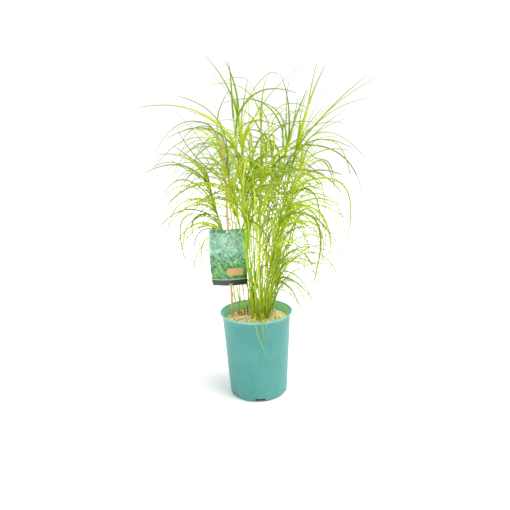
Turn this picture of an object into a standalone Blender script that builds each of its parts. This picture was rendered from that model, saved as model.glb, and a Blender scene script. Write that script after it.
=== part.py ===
"""Palm sedge in a plastic nursery pot, with its cane and its picture tag.

Units are metres and +Z is up. The origin is the middle of the pot's flat base, so the pot stands on z = 0.
The front of the object, where the picture tag faces, looks along -Y.
"""

import math

import bmesh
import bpy
import numpy as np
from mathutils import Matrix, Vector
from mathutils.bvhtree import BVHTree

MM = 0.001
GAP = 0.0003  # room left between pieces that touch

# Pot
POT_HEIGHT = 0.214
RIM_RADIUS = 0.090
COLLAR_RADIUS = 0.0874  # outside, of the band that carries the rolled rim
NECK_RADIUS = 0.0848  # outside, just under the collar
FOOT_RADIUS = 0.0725  # outside, just above the rounded foot
WALL = 0.002
FLOOR = 0.0028
RIM_DEPTH = 0.0085
FOOT_ROUND = 0.005
POT_SEGMENTS = 40
NOTCH_COUNT = 6
NOTCH_WIDTH = 0.027
NOTCH_HEIGHT = 0.009
NOTCH_TURN = 1.5  # degrees, of the front notch from -Y

# Potting mix
MIX_LEVEL = 0.189  # at the wall
MIX_MOUND = 0.006  # rise at the middle
PLANTED_DEPTH = 0.020

# Cane
CANE_FOOT = (-0.060, 0.018)
CANE_TOP = (-0.061, -0.015, 0.638)
CANE_RADIUS = 0.003
CANE_JOINTS = (0.300, 0.445, 0.590)  # heights of the bamboo's joints

# Picture tag
TAG_WIDTH = 0.086
TAG_SHIFT = -0.003  # of its middle from the cane
TAG_HEIGHT = 0.145
TAG_BOTTOM = 0.2755
TAG_THICKNESS = 0.0006
TAG_SLOT = 0.014
TAG_SWELL = 0.05  # share by which the bowed sheet is wider halfway up
TAG_CURL = 0.010  # how far its sides curl back

# Old stems cut off short, in millimetres: foot (x, y), length above the mix, radius
CUT_STEMS = [((-44, 22), 18, 2.0), ((-37, 16), 14, 2.2), ((-30, 22), 20, 1.9), ((-22, 24), 24, 2.3)]

# Shoots
STEM_RADIUS = 0.0025
STEM_TIP_RADIUS = 0.0015
STEM_SPREAD = 0.18  # how much of its sideways reach a stem has made at the middle of its curve
LEAF_WIDTH = 0.0052
LEAF_KEEL = 0.20  # depth of a leaf's fold under its middle line, as a share of its width
LEAF_MARGIN = 0.10  # rise of its edges, as a share of its width
LEAF_ROOT = 0.006  # height of a leaf where it joins its stem
LEAF_CLEARANCE = 0.0056  # between the middle lines of leaves and stems of different shoots
OWN_CLEARANCE = 0.0044  # and of one shoot
SHEATH_LENGTH = 0.035  # stretch beside its own stem that a leaf is not tested against it
ROOT_LENGTH = 0.011  # stretch at its root that a leaf is not tested against its own shoot's leaves
ROOT_PUSHES = (0.0, 0.002, 0.004, 0.006)  # how far a leaf may spring away from its stem near its root
TRACED_STATIONS = (0.10, 0.30, 0.50, 0.70, 0.87)
PLAIN_STATIONS = (0.10, 0.34, 0.60, 0.83)
LEAF_SLOTS = (1.0, 0.95, 0.90, 0.845, 0.785, 0.72, 0.65, 0.57, 0.48)

# Each shoot, in millimetres: its foot on the mix (x, y), its top (x, y, z), the number of leaves set out by
# rule, the compass direction in degrees that its first leaf faces, and its leaves that were drawn by hand.
# A drawn leaf has its place on the stem (0 foot, 1 top), the point halfway along it, and its tip.
SHOOTS = {
    "tall_left": ((-13, 14), (-24, 0, 696), 5, 30, [
        (1.0, (-30, 5, 750), (-50, 10, 805)),
        (0.95, (-40, -10, 740), (-95, -20, 820)),
        (0.90, (-45, 20, 735), (-85, 40, 780))]),
    "tall_left_rear": ((-8, 24), (-20, 56, 661), 4, 80, [
        (1.0, (-10, 55, 725), (0, 60, 770)),
        (0.95, (5, 85, 730), (60, 120, 790)),
        (0.90, (30, 35, 705), (95, 20, 770))]),
    "tall_left_front": ((-12, 4), (-36, -30, 678), 5, 250, [
        (0.90, (-115, -45, 695), (-245, -60, 705)),
        (0.845, (-85, 0, 675), (-145, 30, 700))]),
    "left_green": ((-7, -5), (-55, -60, 571), 6, 200, [
        (0.95, (-90, -85, 595), (-130, -110, 590)),
        (0.90, (-115, -50, 590), (-160, -40, 660))]),
    "left_tall_arch": ((-37, 28), (-76, 30, 654), 3, 150, [
        (1.0, (-135, -5, 675), (-215, -40, 605)),
        (0.95, (-75, 45, 715), (-60, 60, 745)),
        (0.90, (-85, -30, 650), (-100, -90, 655)),
        (0.72, (-110, 45, 620), (-175, 60, 700))]),
    "left_fan": ((-47, 36), (-114, 40, 557), 1, 180, [
        (1.0, (-140, -10, 595), (-175, -30, 625)),
        (0.95, (-155, 15, 595), (-225, 20, 600)),
        (0.90, (-170, -25, 580), (-240, -60, 565)),
        (0.845, (-185, 55, 580), (-255, 90, 565)),
        (0.785, (-170, 35, 540), (-230, 60, 485)),
        (0.72, (-165, -10, 530), (-230, -30, 470))]),
    "left_low": ((-38, 42), (-102, 60, 496), 2, 140, [
        (0.95, (-170, 40, 485), (-210, 20, 400)),
        (0.90, (-150, 5, 475), (-145, -50, 395)),
        (0.845, (-140, -15, 450), (-105, -90, 385)),
        (0.785, (-160, 60, 450), (-170, 60, 310)),
        (0.57, (-110, 10, 400), (-120, -40, 295))]),
    "left_rear": ((-27, 36), (-70, 80, 606), 7, 100, []),
    "rear_left": ((-15, 38), (-51, 120, 502), 6, 140, []),
    "front_left": ((-4, 8), (-27, -80, 589), 7, 260, []),
    "front_low": ((1, -10), (-12, -90, 469), 4, 215, [
        (0.35, (15, -100, 214), (20, -104, 160)),
        (0.25, (0, -100, 214), (30, -108, 110))]),
    "front": ((10, -15), (5, -110, 530), 7, 290, []),
    "middle": ((10, 13), (27, 30, 569), 7, 10, []),
    "rear": ((0, 36), (-1, 130, 601), 7, 75, []),
    "rear_tall": ((9, 32), (32, 110, 677), 7, 50, []),
    "middle_tall": ((15, 2), (43, -60, 650), 5, 320, [
        (1.0, (35, -50, 680), (15, -40, 705)),
        (0.90, (15, -15, 665), (-20, 30, 700))]),
    "middle_right": ((20, 12), (58, 10, 626), 2, 40, [
        (1.0, (55, 35, 665), (90, 60, 695)),
        (0.95, (15, -25, 650), (-15, -60, 645)),
        (0.90, (85, -50, 615), (110, -110, 630)),
        (0.845, (80, -55, 590), (90, -120, 550)),
        (0.72, (15, -70, 525), (-15, -150, 505))]),
    "right_tall": ((26, 5), (94, -20, 643), 3, 330, [
        (1.0, (110, -30, 690), (130, -40, 735)),
        (0.95, (90, 20, 715), (75, 60, 780)),
        (0.90, (60, -40, 690), (25, -60, 710)),
        (0.845, (115, 35, 660), (145, 90, 675))]),
    "right_far": ((34, 14), (121, 30, 645), 0, 340, [
        (1.0, (145, 45, 715), (185, 60, 795)),
        (0.97, (135, 5, 700), (155, -20, 795)),
        (0.94, (160, 70, 700), (215, 110, 765)),
        (0.91, (190, 20, 695), (275, 20, 765)),
        (0.88, (190, -10, 695), (285, -40, 755)),
        (0.845, (170, -35, 675), (265, -100, 710)),
        (0.80, (165, -25, 640), (260, -60, 575)),
        (0.75, (190, 45, 620), (255, 60, 470))]),
    "right_rear": ((22, 23), (92, 90, 648), 5, 60, [
        (0.90, (220, 65, 585), (275, 40, 460))]),
    "right_front": ((28, -4), (102, -60, 543), 2, 300, [
        (1.0, (140, -75, 595), (215, -90, 600)),
        (0.95, (190, -60, 535), (210, -60, 380)),
        (0.90, (125, -95, 520), (140, -130, 415)),
        (0.785, (135, -10, 470), (195, 40, 350))]),
    "right_side": ((34, 25), (130, 80, 562), 5, 20, [
        (1.0, (140, 70, 600), (165, 60, 625)),
        (0.90, (190, 110, 570), (220, 140, 490))]),
    "right_low": ((20, -13), (67, -90, 477), 1, 320, [
        (1.0, (165, -75, 495), (195, -60, 290)),
        (0.95, (110, -100, 470), (125, -110, 295)),
        (0.90, (100, -115, 455), (115, -140, 380)),
        (0.845, (135, -55, 440), (155, -20, 310)),
        (0.72, (105, -110, 405), (120, -130, 220))]),
    "rear_right": ((22, 36), (96, 110, 498), 6, 70, []),
    "low_right": ((38, 3), (60, -30, 319), 1, 325, [
        (1.0, (140, -35, 365), (210, -40, 275)),
        (0.90, (95, -55, 300), (135, -80, 260)),
        (0.80, (85, -70, 285), (110, -110, 230)),
        (0.70, (90, -5, 335), (135, 20, 310))]),
    "low_rear_right": ((33, 44), (50, 58, 300), 3, 25, [
        (0.80, (75, -10, 280), (100, -60, 190))]),
}


def remove_startup_objects():
    for obj in list(bpy.data.objects):
        bpy.data.objects.remove(obj, do_unlink=True)


def make_material(name, colour, roughness, metallic=0.0):
    material = bpy.data.materials.new(name)
    material.use_nodes = True
    shader = material.node_tree.nodes["Principled BSDF"]
    shader.inputs["Base Color"].default_value = (*colour, 1.0)
    shader.inputs["Roughness"].default_value = roughness
    shader.inputs["Metallic"].default_value = metallic
    material.diffuse_color = (*colour, 1.0)
    return material


def make_object(name, bm, material=None, smooth_angle=None):
    mesh = bpy.data.meshes.new(name)
    bm.to_mesh(mesh)
    bm.free()
    if material:
        mesh.materials.append(material)
    if smooth_angle:
        mesh.shade_smooth()
        mesh.set_sharp_from_angle(angle=math.radians(smooth_angle))
    obj = bpy.data.objects.new(name, mesh)
    bpy.context.collection.objects.link(obj)
    return obj


def turned_shape(profile, segments):
    """Closed solid from a profile of (radius, height) points that starts and ends on the axis."""
    bm = bmesh.new()
    verts = [bm.verts.new((radius, 0.0, height)) for radius, height in profile]
    edges = [bm.edges.new(pair) for pair in zip(verts, verts[1:])]
    bmesh.ops.spin(bm, geom=verts + edges, cent=(0, 0, 0), axis=(0, 0, 1), angle=2 * math.pi,
                   steps=segments, use_merge=True)
    bmesh.ops.remove_doubles(bm, verts=bm.verts, dist=1e-6)
    bmesh.ops.recalc_face_normals(bm, faces=bm.faces)
    return bm


def cut_away(obj, cutter):
    """Boolean difference; the cutter stays in the scene as a hidden guide."""
    cutter.hide_render = True
    cutter.display_type = "WIRE"
    modifier = obj.modifiers.new("cut", "BOOLEAN")
    modifier.operation = "DIFFERENCE"
    modifier.solver = "EXACT"
    modifier.object = cutter


def inner_radius(height):
    """Radius of the pot's inside wall at a height."""
    low, high = FOOT_ROUND, POT_HEIGHT - RIM_DEPTH
    share = (height - low) / (high - low)
    return FOOT_RADIUS + (NECK_RADIUS - FOOT_RADIUS) * share - WALL


def make_pot():
    neck = POT_HEIGHT - RIM_DEPTH
    profile = [
        (0.0, 0.0),
        (FOOT_RADIUS - FOOT_ROUND, 0.0),
        (FOOT_RADIUS - 0.3 * FOOT_ROUND, 0.3 * FOOT_ROUND),
        (FOOT_RADIUS, FOOT_ROUND),
        (NECK_RADIUS, neck),
        (COLLAR_RADIUS, neck + 0.0025),
        (COLLAR_RADIUS, POT_HEIGHT - 0.004),
        (RIM_RADIUS, POT_HEIGHT - 0.003),
        (RIM_RADIUS, POT_HEIGHT - 0.001),
        (RIM_RADIUS - 0.001, POT_HEIGHT),
        (RIM_RADIUS - 0.003, POT_HEIGHT),
        (inner_radius(neck) + 0.0012, POT_HEIGHT - 0.005),
        (inner_radius(neck), neck),
        (inner_radius(FOOT_ROUND), FOOT_ROUND + 0.001),
        (inner_radius(FOOT_ROUND) - 0.003, FLOOR),
        (0.0, FLOOR),
    ]
    colour = make_material("teal_plastic", (0.12, 0.42, 0.38), 0.42)
    pot = make_object("pot", turned_shape(profile, POT_SEGMENTS), colour, smooth_angle=35)

    notches = bmesh.new()
    for index in range(NOTCH_COUNT):
        turn = math.radians(NOTCH_TURN + index * 360.0 / NOTCH_COUNT)
        depth = 0.020
        place = Matrix.Rotation(turn, 4, "Z") @ Matrix.Translation((0.0, -FOOT_RADIUS, 0.0))
        size = Matrix.Diagonal((NOTCH_WIDTH, depth, 2 * NOTCH_HEIGHT, 1.0))
        bmesh.ops.create_cube(notches, size=1.0, matrix=place @ size)
    cut_away(pot, make_object("notch_cutter", notches))
    return pot


def mix_height(x, y):
    """Height of the potting mix: a low mound with soft unevenness that fades out at the wall."""
    share = min(1.0, math.hypot(x, y) / inner_radius(MIX_LEVEL))
    fade = 1.0 - share ** 2
    bumps = 0.0012 * math.sin(130 * x + 1.0) * math.cos(110 * y) + 0.0008 * math.sin(210 * y + 2.0)
    return MIX_LEVEL + MIX_MOUND * fade + bumps * math.sqrt(fade)


def make_potting_mix(pockets):
    edge = inner_radius(MIX_LEVEL) - GAP
    profile = [(0.0, FLOOR + GAP),
               (inner_radius(FOOT_ROUND) - 0.003 - GAP, FLOOR + GAP),
               (inner_radius(FOOT_ROUND) - GAP - 0.0001, FOOT_ROUND + 0.001),
               (edge, MIX_LEVEL)]
    profile += [(edge * share, MIX_LEVEL + 0.001) for share in (0.80, 0.58, 0.0)]  # rings of the mound
    bm = turned_shape(profile, POT_SEGMENTS)
    for vert in bm.verts:
        if vert.co.z > MIX_LEVEL + 0.0005:
            vert.co.z = mix_height(vert.co.x, vert.co.y)
    colour = make_material("potting_mix", (0.62, 0.52, 0.34), 0.95)
    mix = make_object("potting_mix", bm, colour)
    cut_away(mix, make_object("pocket_cutter", pockets))
    return mix


def cane_point(height):
    """Point on the cane's axis at a height: a straight cane that leans a little."""
    foot = mix_height(*CANE_FOOT) - PLANTED_DEPTH
    share = (height - foot) / (CANE_TOP[2] - foot)
    x = CANE_FOOT[0] + (CANE_TOP[0] - CANE_FOOT[0]) * share
    y = CANE_FOOT[1] + (CANE_TOP[1] - CANE_FOOT[1]) * share
    return Vector((x, y, height))


def make_cane():
    curve = bpy.data.curves.new("cane", "CURVE")
    curve.dimensions = "3D"
    curve.bevel_depth = CANE_RADIUS
    curve.bevel_resolution = 2
    curve.use_fill_caps = True
    heights = [(mix_height(*CANE_FOOT) - PLANTED_DEPTH, 1.0)]
    for joint in CANE_JOINTS:
        heights += [(joint - 0.004, 1.0), (joint, 1.18), (joint + 0.004, 1.0)]
    heights.append((CANE_TOP[2], 0.97))
    spline = curve.splines.new("POLY")
    spline.points.add(len(heights) - 1)
    for point, (height, radius) in zip(spline.points, heights):
        point.co = (*cane_point(height), 1.0)
        point.radius = radius
    curve.materials.append(make_material("bamboo", (0.72, 0.52, 0.30), 0.55))
    cane = bpy.data.objects.new("cane", curve)
    bpy.context.collection.objects.link(cane)
    return cane


def make_cut_stems():
    colour = make_material("straw", (0.55, 0.42, 0.16), 0.8)
    for number, (place, length, radius) in enumerate(CUT_STEMS, 1):
        x, y = place[0] * MM, place[1] * MM
        foot = mix_height(x, y) - PLANTED_DEPTH
        height = length * MM + PLANTED_DEPTH
        bm = bmesh.new()
        radius *= MM
        bmesh.ops.create_cone(bm, cap_ends=True, segments=7, radius1=radius, radius2=0.85 * radius,
                              depth=height, matrix=Matrix.Translation((x, y, foot + height / 2)))
        make_object(f"cut_stem_{number}", bm, colour, smooth_angle=60)


def tag_rows():
    """Heights of the tag's rows and how far each stands in front of the cane's axis.

    The sheet runs behind the cane at its top and bottom margins and bows in front of it between the slots.
    """
    behind = -(CANE_RADIUS + TAG_THICKNESS + 0.0008)
    front = CANE_RADIUS + TAG_THICKNESS + 0.0012
    return [(0.000, behind - 0.001), (0.007, behind), (0.021, front), (0.045, front + 0.005),
            (0.0725, front + 0.007), (0.100, front + 0.005), (0.124, front), (0.138, behind),
            (0.145, behind - 0.001)]


def tag_columns():
    half = TAG_WIDTH / 2
    return [-half, -half * 0.6, -TAG_SLOT / 2, TAG_SLOT / 2, half * 0.6, half]


def make_picture_tag():
    bm = bmesh.new()
    columns = tag_columns()
    rows = tag_rows()
    grid = []
    for row, (up, forward) in enumerate(rows):
        axis = cane_point(TAG_BOTTOM + up)
        swell = 1.0 + TAG_SWELL * math.sin(math.pi * up / TAG_HEIGHT)
        line = []
        for across in columns:
            offset = 0.0 if abs(across) < TAG_SLOT else TAG_SHIFT
            curl = TAG_CURL * (across / columns[-1]) ** 2
            line.append(bm.verts.new((axis.x + offset + across * swell, axis.y - forward + curl, axis.z)))
        grid.append(line)
    slot_rows = (1, len(rows) - 3)
    for row in range(len(rows) - 1):
        for column in range(len(columns) - 1):
            if column == 2 and row in slot_rows:
                continue
            lower = grid[row][column:column + 2]
            upper = grid[row + 1][column:column + 2]
            bm.faces.new([*lower, *reversed(upper)])
    bmesh.ops.recalc_face_normals(bm, faces=bm.faces)
    colour = make_material("printed_card", (0.25, 0.50, 0.36), 0.35)
    tag = make_object("picture_tag", bm, colour, smooth_angle=35)
    sheet = tag.modifiers.new("thickness", "SOLIDIFY")
    sheet.thickness = TAG_THICKNESS
    sheet.offset = 0.0
    return tag


def curve_point(controls, share):
    """Point at a share of the run of a curve that leaves start towards bend and comes into end from it."""
    start, bend, end = controls
    back = 1.0 - share
    return back ** 2 * start + 2 * back * share * bend + share ** 2 * end


def stem_point(shoot, share):
    """Point on a stem: it rises almost straight and leans outwards towards its top."""
    foot, top = shoot["foot"], shoot["top"]
    bend = foot + (top - foot) * np.array((STEM_SPREAD, STEM_SPREAD, 0.55))
    return curve_point((foot, bend, top), share)


def stem_direction(shoot, share):
    step = stem_point(shoot, share + 0.01) - stem_point(shoot, share - 0.01)
    return step / np.linalg.norm(step)


def stem_radius(share):
    return STEM_RADIUS + (STEM_TIP_RADIUS - STEM_RADIUS) * share


def leaf_controls(root, middle, tip):
    """The curve of a leaf from its root, through a point on its way, to its tip."""
    share = math.dist(root, middle) / (math.dist(root, middle) + math.dist(middle, tip))
    back = 1.0 - share
    bend = (middle - back ** 2 * root - share ** 2 * tip) / (2 * share * back)
    return (root, bend, tip)


def planned_leaf(shoot, place, facing, sway):
    """Middle and tip of a leaf set out by rule: low leaves are long and arch over, high ones stand up."""
    root = stem_point(shoot, place)
    height = (place - LEAF_SLOTS[-1]) / (1.0 - LEAF_SLOTS[-1])
    length = 0.250 - 0.050 * height + 0.035 * math.sin(5.0 * sway)
    chord = math.radians(-30 + 80 * height ** 1.5 + 14 * math.sin(3.0 * sway))
    arch = min(chord + math.radians(30), math.radians(82))
    outward = np.array((math.cos(facing), math.sin(facing), 0.0))
    upward = np.array((0.0, 0.0, 1.0))
    middle = root + 0.47 * length * (math.cos(arch) * outward + math.sin(arch) * upward)
    tip = root + 0.84 * length * (math.cos(chord) * outward + math.sin(chord) * upward)
    return middle, tip


def turned_about(root, point, turn):
    """A point turned about the upright line through root."""
    step = point - root
    cos, sin = math.cos(turn), math.sin(turn)
    return root + np.array((cos * step[0] - sin * step[1], sin * step[0] + cos * step[1], step[2]))


def samples_between(points, spacing=0.0025):
    """Points at most a spacing apart along straight runs."""
    found = [points[0]]
    for start, end in zip(points, points[1:]):
        count = max(1, math.ceil(np.linalg.norm(end - start) / spacing))
        found += [start + (end - start) * step / count for step in range(1, count + 1)]
    return found


class Room:
    """Remembers where the pieces are, in small cells, so that a new leaf can be kept clear of them."""

    def __init__(self):
        self.cells = {}

    def cell(self, point):
        return tuple(int(math.floor(value / LEAF_CLEARANCE)) for value in point)

    def fill(self, points, owner):
        for point in points:
            self.cells.setdefault(self.cell(point), []).append((point, owner))

    def is_free(self, points, owner):
        """True where a leaf of the shoot named by owner, rooted at the first point, touches nothing."""
        steps = (-1, 0, 1)
        for point in points:
            run = math.dist(point, points[0])
            clearances = {owner: 0.0 if run < ROOT_LENGTH else OWN_CLEARANCE,
                          owner + " stem": 0.0 if run < SHEATH_LENGTH else OWN_CLEARANCE}
            x, y, z = self.cell(point)
            for near in ((x + i, y + j, z + k) for i in steps for j in steps for k in steps):
                for other, other_owner in self.cells.get(near, ()):
                    if math.dist(point, other) < clearances.get(other_owner, LEAF_CLEARANCE):
                        return False
        return True


def clear_of_pot(points):
    """True where no point is inside the rim or closer than 4 mm to the pot's outside."""
    for x, y, z in points:
        reach = math.hypot(x, y)
        if z < POT_HEIGHT + 0.005 and reach < RIM_RADIUS + 0.004:
            return False
        if z < 0.02:
            return False
    return True


def fill_fixed_pieces(room):
    """Marks the cane, the cut stems and the tag as taken."""
    cane_base = np.array(cane_point(mix_height(*CANE_FOOT)))
    room.fill(samples_between([cane_base, np.array(CANE_TOP)]), "cane")
    for (x, y), length, _ in CUT_STEMS:
        base = np.array((x * MM, y * MM, MIX_LEVEL))
        rise = np.array((0.0, 0.0, length * MM + MIX_MOUND))
        room.fill(samples_between([base, base + rise]), "cut_stem")
    for up, forward in tag_rows():
        axis = np.array(cane_point(TAG_BOTTOM + up)) + np.array((TAG_SHIFT, -forward, 0.0))
        half = np.array((TAG_WIDTH / 2 * (1.0 + TAG_SWELL), 0.0, 0.0))
        for rise in (-0.008, -0.004, 0.0, 0.004, 0.008):
            lift = np.array((0.0, 0.0, rise))
            room.fill(samples_between([axis - half + lift, axis + half + lift], 0.005), "tag")


def plan_shoots():
    """Works out every stem and leaf, keeping each leaf clear of all that was placed before it."""
    room = Room()
    fill_fixed_pieces(room)
    shoots = []
    for name, (foot, top, planned, facing, drawn) in SHOOTS.items():
        x, y = foot[0] * MM, foot[1] * MM
        shoot = {
            "name": name,
            "foot": np.array((x, y, mix_height(x, y) - PLANTED_DEPTH)),
            "top": np.array(top) * MM,
            "facing": math.radians(facing),
            "planned": planned,
            "drawn": drawn,
            "leaves": [],
        }
        shoots.append(shoot)
        stem = [stem_point(shoot, step / 12) for step in range(13)]
        room.fill(samples_between(stem), name + " stem")

    for shoot in shoots:
        for place, middle, tip in shoot["drawn"]:
            middle, tip = np.array(middle) * MM, np.array(tip) * MM
            add_leaf(room, shoot, place, middle, tip, TRACED_STATIONS, [1.0])
    for number, shoot in enumerate(shoots):
        taken = [leaf["place"] for leaf in shoot["leaves"]]
        free = [slot for slot in LEAF_SLOTS if all(abs(slot - place) > 0.02 for place in taken)]
        for order, place in enumerate(free[:shoot["planned"]]):
            facing = shoot["facing"] + math.radians(120) * order + 0.35 * math.sin(2.0 * order + number)
            middle, tip = planned_leaf(shoot, place, facing, number + 1.7 * order)
            add_leaf(room, shoot, place, middle, tip, PLAIN_STATIONS, [1.0, 0.8, 0.6])
        shoot["leaves"].sort(key=lambda leaf: leaf["place"])
    return shoots


def add_leaf(room, shoot, place, middle, tip, stations, sizes):
    """Turns a leaf about its stem until it is clear of everything, and leaves it out if it never is."""
    root = stem_point(shoot, place)
    hangs = tip[2] < POT_HEIGHT
    turns = [0] + [side * degrees for degrees in range(3, 58, 3) for side in (1, -1)]
    for size, turn in ((size, turn) for size in sizes for turn in turns):
        angle = math.radians(turn)
        ends = [root + size * (turned_about(root, point, angle) - root) for point in (middle, tip)]
        controls = leaf_controls(root, *ends)
        line = [root] + [curve_point(controls, share) for share in (*stations, 1.0)]
        points = samples_between(line)
        if not room.is_free(points, shoot["name"]):
            continue
        if not clear_of_pot(points) and not (hangs and turn == 0):
            continue
        room.fill(points, shoot["name"])
        shoot["leaves"].append({"place": place, "controls": controls, "stations": stations})
        return


def planted_share(shoot):
    """Share of a stem that is planted, up to a little above the mix."""
    return 0.85 * (PLANTED_DEPTH + 0.015) / (shoot["top"][2] - shoot["foot"][2])


def ring_around(shoot, share):
    """The three corners of a stem at one height; its flat sides face the three leaf ranks."""
    centre = stem_point(shoot, share)
    along = stem_direction(shoot, share)
    across = np.array((1.0, 0.0, 0.0)) - along[0] * along
    across /= np.linalg.norm(across)
    other = np.cross(along, across)
    corners = []
    for corner in range(3):
        angle = shoot["facing"] + math.radians(60 + 120 * corner)
        corners.append(centre + stem_radius(share) * (math.cos(angle) * across + math.sin(angle) * other))
    return corners


def side_facing(shoot, direction):
    """Number of the stem's side that a leaf growing in a direction comes from."""
    angle = math.atan2(direction[1], direction[0]) - shoot["facing"]
    return round(angle / math.radians(120)) % 3


def leaf_width(share):
    return LEAF_WIDTH * (1.0 - share ** 2.2) ** 0.8


def leaf_section(leaf, share, push):
    """Corners of a leaf's triangular section at a share of its run: right margin, left margin and keel.

    Near its root the leaf is pushed outwards, away from its stem, and has come back by a third of its run.
    """
    controls = leaf["controls"]
    reach = controls[2] - controls[0]
    outward = np.array((reach[0], reach[1], 0.0)) / (math.hypot(reach[0], reach[1]) + 1e-9)
    level = np.array((-outward[1], outward[0], 0.0))  # sideways, to the left of the leaf's run
    centre = curve_point(controls, share) + push * max(0.0, 1.0 - share / 0.33) * outward
    along = curve_point(controls, share + 0.01) - curve_point(controls, share - 0.01)
    along /= np.linalg.norm(along)
    side = level - np.dot(level, along) * along
    side /= np.linalg.norm(side)
    upper = np.cross(along, side)
    width = leaf_width(share)
    return [centre - 0.5 * width * side + LEAF_MARGIN * width * upper,
            centre + 0.5 * width * side + LEAF_MARGIN * width * upper,
            centre - LEAF_KEEL * width * upper]


def grow_leaf(bm, root_face, keel_vert, leaf, push):
    """Extrudes a triangle of the stem along a leaf, two margins above and a keel below, to a closed tip."""
    first = leaf_section(leaf, leaf["stations"][0], push)
    sideways = Vector(first[1] - first[0])
    margins = [vert.co.copy() for vert in root_face.verts if vert is not keel_vert]
    margins.sort(key=lambda corner: corner.dot(sideways))
    corners = [*margins, keel_vert.co.copy()]
    face = root_face
    for share in leaf["stations"]:
        places = [Vector(place) for place in leaf_section(leaf, share, push)]
        face = bmesh.ops.extrude_discrete_faces(bm, faces=[face])["faces"][0]
        for vert in face.verts:
            nearest = min(range(3), key=lambda corner: (vert.co - corners[corner]).length)
            vert.co = places[nearest]
        corners = places
    face = bmesh.ops.extrude_discrete_faces(bm, faces=[face])["faces"][0]
    bmesh.ops.pointmerge(bm, verts=list(face.verts), merge_co=Vector(leaf["controls"][2]))


def shoot_skin(shoot, roots):
    """One stem as a closed skin, with the leaves that roots has a (side or keel number, push) for."""
    leaves = shoot["leaves"]
    side_leaves = leaves[:-1] if leaves[-1]["place"] == 1.0 else leaves
    planted = planted_share(shoot)
    places = [leaf["place"] + 0.006 for leaf in side_leaves]
    levels = [0.0, planted, (planted + places[0]) / 2] + places + [1.0]

    bm = bmesh.new()
    rings = [[bm.verts.new(corner) for corner in ring_around(shoot, level)] for level in levels]
    bm.faces.new(reversed(rings[0]))
    cap = bm.faces.new(rings[-1])
    sides = []
    for low, high in zip(rings, rings[1:]):
        sides.append([bm.faces.new((low[k - 1], low[k], high[k], high[k - 1])) for k in range(3)])
    bm.normal_update()

    for number, (leaf, (side, push)) in enumerate(zip(leaves, roots)):
        if leaf["place"] == 1.0:
            grow_leaf(bm, cap, rings[-1][side], leaf, push)
            continue
        high = rings[3 + number]
        centre = bmesh.ops.poke(bm, faces=[sides[2 + number][side]])["verts"][0]
        root = next(part for part in centre.link_faces if sum(vert in high for vert in part.verts) == 2)
        edge_middle = sum((vert.co for vert in root.verts if vert in high), Vector()) / 2
        down = centre.co - edge_middle
        centre.co = edge_middle + min(LEAF_ROOT, down.length) * down.normalized()
        grow_leaf(bm, root, centre, leaf, push)
    bmesh.ops.triangulate(bm, faces=bm.faces)
    return bm


def own_clashes(bm):
    """Number of places where a skin runs into itself."""
    bm.faces.ensure_lookup_table()
    tree = BVHTree.FromBMesh(bm)
    corners = [set(face.verts) for face in bm.faces]
    return sum(1 for a, b in tree.overlap(tree) if a < b and not corners[a] & corners[b])


def make_shoot(shoot, material):
    """Settles leaf by leaf which side of the stem it grows from, so that the skin stays clear of itself."""
    roots = []
    for leaf in shoot["leaves"]:
        nearest = side_facing(shoot, leaf["controls"][1] - leaf["controls"][0])
        choices = [((nearest + turn) % 3, push) for push in ROOT_PUSHES for turn in (0, 1, 2)]
        best = None
        for choice in choices:
            trial = shoot_skin(shoot, [*roots, choice])
            clashes = own_clashes(trial)
            trial.free()
            if best is None or clashes < best[0]:
                best = (clashes, choice)
            if clashes == 0:
                break
        roots.append(best[1])
    return make_object("shoot_" + shoot["name"], shoot_skin(shoot, roots), material)


def add_pocket(pockets, shoot):
    """A three-sided pocket in the mix round the planted part of a stem.

    A triangle's sides are half as far out as its corners, so the corners stand off by over twice the gap.
    """
    stand_off = 2.6 * GAP
    rings = []
    for share, drop in ((0.0, -2 * GAP), (planted_share(shoot), 0.0)):
        centre = stem_point(shoot, share)
        grow = 1 + stand_off / stem_radius(share)
        corners = [centre + grow * (corner - centre) for corner in ring_around(shoot, share)]
        rings.append([pockets.verts.new(corner + np.array((0, 0, drop))) for corner in corners])
    pockets.faces.new(reversed(rings[0]))
    pockets.faces.new(rings[1])
    for k in range(3):
        pockets.faces.new((rings[0][k - 1], rings[0][k], rings[1][k], rings[1][k - 1]))


def add_round_pocket(pockets, x, y, radius):
    """An upright round pocket in the mix for the planted end of the cane or of a cut stem."""
    foot = mix_height(x, y) - PLANTED_DEPTH - 2 * GAP
    height = PLANTED_DEPTH + 0.02
    bmesh.ops.create_cone(pockets, cap_ends=True, segments=8, radius1=radius, radius2=radius,
                          depth=height, matrix=Matrix.Translation((x, y, foot + height / 2)))


def main():
    remove_startup_objects()
    shoots = plan_shoots()
    pockets = bmesh.new()
    for shoot in shoots:
        add_pocket(pockets, shoot)
    lean = 6 * GAP  # the cane leans sideways in its upright pocket
    add_round_pocket(pockets, *CANE_FOOT, CANE_RADIUS + lean)
    for place, length, radius in CUT_STEMS:
        add_round_pocket(pockets, place[0] * MM, place[1] * MM, radius * MM + 2 * GAP)
    bmesh.ops.recalc_face_normals(pockets, faces=pockets.faces)
    make_pot()
    make_potting_mix(pockets)
    make_cane()
    make_cut_stems()
    make_picture_tag()
    green = make_material("sedge_green", (0.33, 0.50, 0.04), 0.5)
    for shoot in shoots:
        make_shoot(shoot, green)


main()
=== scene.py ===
import itertools
import math

import bpy
import numpy as np
from mathutils import Matrix, Vector


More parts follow.
